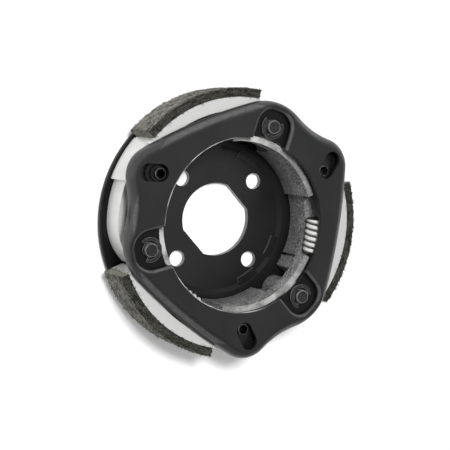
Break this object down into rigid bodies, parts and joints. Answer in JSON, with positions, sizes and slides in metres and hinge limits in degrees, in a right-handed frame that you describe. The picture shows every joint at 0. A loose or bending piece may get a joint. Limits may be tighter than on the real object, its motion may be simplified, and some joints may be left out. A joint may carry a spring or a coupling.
{
  "type": "centrifugal clutch",
  "caption": "Centrifugal clutch: lined shoes hinge on pins between a round back plate and a lobed front plate, with coil return springs and hex-socket preload adjusters.",
  "frame": {"origin": "centre of the hub hole at the rear face of the back plate", "axes": "+Z along the pulley axis from the back plate to the front plate; one of the four bolt holes lies midway between +X and +Y"},
  "size_m": [0.1025, 0.1049, 0.0288],
  "materials": {
    "black_plate": "satin black coating, slightly orange-peeled",
    "pin_steel": "turned steel with a grey phosphate bloom",
    "shoe_aluminium": "cast aluminium, machined bright on its faces",
    "friction_lining": "grey-brown moulded friction material, rough",
    "adjuster_steel": "turned steel, blackened",
    "white_spring": "white painted spring wire",
    "clip_steel": "hardened steel, dark phosphate"
  },
  "bodies": {
    "plates": {"back_plate": "black_plate", "front_plate": "black_plate", "pivot_pin_1": "pin_steel", "pivot_pin_2": "pin_steel", "pivot_pin_3": "pin_steel", "retaining_clips": "clip_steel", "pivot_washers": "pin_steel"},
    "shoe_arm_1": {"shoe_1": "shoe_aluminium", "lining_1": "friction_lining", "spring_anchor_pin_1": "pin_steel", "return_spring_1": "white_spring"},
    "adjuster_1": {"preload_adjuster_1": "adjuster_steel"},
    "shoe_arm_2": {"shoe_2": "shoe_aluminium", "lining_2": "friction_lining", "spring_anchor_pin_2": "pin_steel", "return_spring_2": "white_spring"},
    "adjuster_2": {"preload_adjuster_2": "adjuster_steel"},
    "shoe_arm_3": {"shoe_3": "shoe_aluminium", "lining_3": "friction_lining", "spring_anchor_pin_3": "pin_steel", "return_spring_3": "white_spring"},
    "adjuster_3": {"preload_adjuster_3": "adjuster_steel"}
  },
  "joints": [
    {"name": "shoe_1_swing", "type": "hinge", "parent": "plates", "child": "shoe_arm_1", "pos_m": [0.01022, 0.03815, 0.0139], "axis": [0, 0, 1], "range_deg": [0, 5], "stiffness_Nm_per_rad": 1.5, "springref_deg": -34.38, "deforming": ["return_spring_1"]},
    {"name": "adjuster_1_turn", "type": "hinge", "parent": "shoe_arm_1", "child": "adjuster_1", "pos_m": [0.03393, 0.02229, 0.016], "axis": [0, 0, 1], "range_deg": [0, 90], "deforming": ["return_spring_1"]},
    {"name": "shoe_2_swing", "type": "hinge", "parent": "plates", "child": "shoe_arm_2", "pos_m": [-0.03815, -0.01022, 0.0139], "axis": [0, 0, 1], "range_deg": [0, 5], "stiffness_Nm_per_rad": 1.5, "springref_deg": -34.38, "deforming": ["return_spring_2"]},
    {"name": "adjuster_2_turn", "type": "hinge", "parent": "shoe_arm_2", "child": "adjuster_2", "pos_m": [-0.03627, 0.01824, 0.016], "axis": [0, 0, 1], "range_deg": [0, 90], "deforming": ["return_spring_2"]},
    {"name": "shoe_3_swing", "type": "hinge", "parent": "plates", "child": "shoe_arm_3", "pos_m": [0.02793, -0.02793, 0.0139], "axis": [0, 0, 1], "range_deg": [0, 5], "stiffness_Nm_per_rad": 1.5, "springref_deg": -34.38, "deforming": ["return_spring_3"]},
    {"name": "adjuster_3_turn", "type": "hinge", "parent": "shoe_arm_3", "child": "adjuster_3", "pos_m": [0.00234, -0.04053, 0.016], "axis": [0, 0, 1], "range_deg": [0, 90], "deforming": ["return_spring_3"]}
  ]
}
